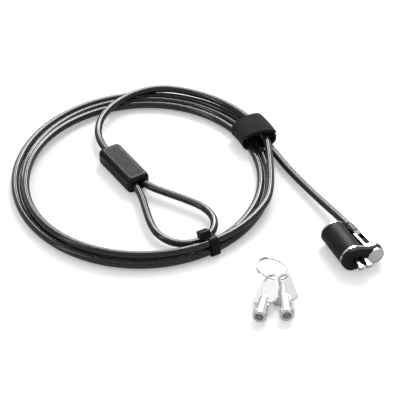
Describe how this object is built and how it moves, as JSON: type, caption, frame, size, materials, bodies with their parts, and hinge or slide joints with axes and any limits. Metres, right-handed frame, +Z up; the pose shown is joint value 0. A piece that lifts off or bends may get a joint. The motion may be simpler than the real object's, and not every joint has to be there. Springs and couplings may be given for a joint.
{
  "type": "laptop cable lock",
  "caption": "Keyed lock head with hooked jaws for a security slot, on a coiled steel cable with a sleeved eye, with round keys on a wire ring.",
  "frame": {"origin": "on the table, below the middle of the box round the lock head, the key ring and the keys, the cable and what it carries left out", "axes": "+X from the keys toward the lock head, +Y from the jaws back toward the wound cable, +Z up"},
  "size_m": [0.1771, 0.2309, 0.0154],
  "materials": {
    "cable_jacket": "clear-coated black vinyl, glossy",
    "strap_tape": "black woven hook-and-loop tape",
    "tie_nylon": "moulded black nylon",
    "sleeve_plastic": "satin black moulding",
    "crimp_aluminium": "pressed, satin",
    "shell_black": "satin black",
    "pad_black": "smooth black",
    "bright_trim": "polished",
    "fitting_zinc": "plated, satin",
    "jaw_steel": "hardened steel, fine ground",
    "carrier_zinc": "die cast, plain",
    "cylinder_brass": "turned",
    "core_steel": "turned steel",
    "ring_steel": "bright wire",
    "key_nickel": "polished nickel plate"
  },
  "bodies": {
    "cable": {"cable_coil": "cable_jacket", "cable_eye_lead": "cable_jacket", "cable_lock_lead": "cable_jacket", "cable_eye_loop": "cable_jacket", "tape_strap": "strap_tape", "cable_tie": "tie_nylon", "eye_sleeve": "sleeve_plastic", "crimp_ferrule": "crimp_aluminium", "cable_end_ferrule": "fitting_zinc"},
    "yoke": {"swivel_yoke": "fitting_zinc", "yoke_cross_pin": "fitting_zinc"},
    "lock_head": {"lock_housing": "shell_black", "rear_trim_ring": "bright_trim", "front_plate": "bright_trim", "front_pad": "pad_black", "jaw_carrier": "carrier_zinc", "jaw_pivot_pins": "jaw_steel", "jaw_return_leaves": "jaw_steel", "lock_cylinder_body": "cylinder_brass", "pin_bushing": "cylinder_brass", "driver_pins": "cylinder_brass", "tumbler_springs": "core_steel", "swivel_stem": "bright_trim", "swivel_washer": "fitting_zinc"},
    "core": {"lock_core": "core_steel", "tumbler_pins": "cylinder_brass", "core_retaining_clip": "core_steel", "jaw_cam": "jaw_steel"},
    "left_jaw_body": {"left_jaw": "jaw_steel"},
    "right_jaw_body": {"right_jaw": "jaw_steel"},
    "ring": {"key_ring": "ring_steel"},
    "left_key": {"left_key_bow": "key_nickel", "left_key_barrel": "key_nickel"},
    "right_key": {"right_key_bow": "key_nickel", "right_key_barrel": "key_nickel"}
  },
  "joints": [
    {"name": "cable_pivot", "type": "hinge", "parent": "cable", "child": "yoke", "pos_m": [0.03832, 0.0162, 0.0068], "axis": [-0.9962, -0.0872, 0], "range_deg": [0, 90]},
    {"name": "head_swivel", "type": "hinge", "parent": "yoke", "child": "lock_head", "pos_m": [0.0395, 0, 0.0068], "axis": [0, 1, 0], "continuous": true},
    {"name": "key_turn", "type": "hinge", "parent": "lock_head", "child": "core", "pos_m": [0.0263, 0, 0.0077], "axis": [0, 1, 0], "range_deg": [0, 90]},
    {"name": "left_jaw_swing", "type": "hinge", "parent": "lock_head", "child": "left_jaw_body", "pos_m": [0.02635, 0.0034, 0.0077], "axis": [0, 0, 1], "range_deg": [0, 3.2]},
    {"name": "right_jaw_swing", "type": "hinge", "parent": "lock_head", "child": "right_jaw_body", "pos_m": [0.0309, 0.0034, 0.0077], "axis": [0, 0, -1], "range_deg": [0, 3.2]},
    {"name": "key_ring_lift", "type": "slide", "parent": "cable", "child": "ring", "axis": [0, 0, 1], "range_m": [0, 0.05]},
    {"name": "left_key_swing", "type": "hinge", "parent": "ring", "child": "left_key", "pos_m": [-0.02263, 0.00579, 0.0052], "axis": [-0.8162, 0.5291, 0.2321], "range_deg": [0, 30]},
    {"name": "right_key_swing", "type": "hinge", "parent": "ring", "child": "right_key", "pos_m": [-0.01561, 0.00464, 0.00339], "axis": [-0.9445, -0.2417, 0.2224], "range_deg": [0, 12]}
  ],
  "couplings": [
    {"joint": "left_jaw_swing", "follows": "key_turn", "ratio": 0.035556},
    {"joint": "right_jaw_swing", "follows": "key_turn", "ratio": 0.035556}
  ]
}
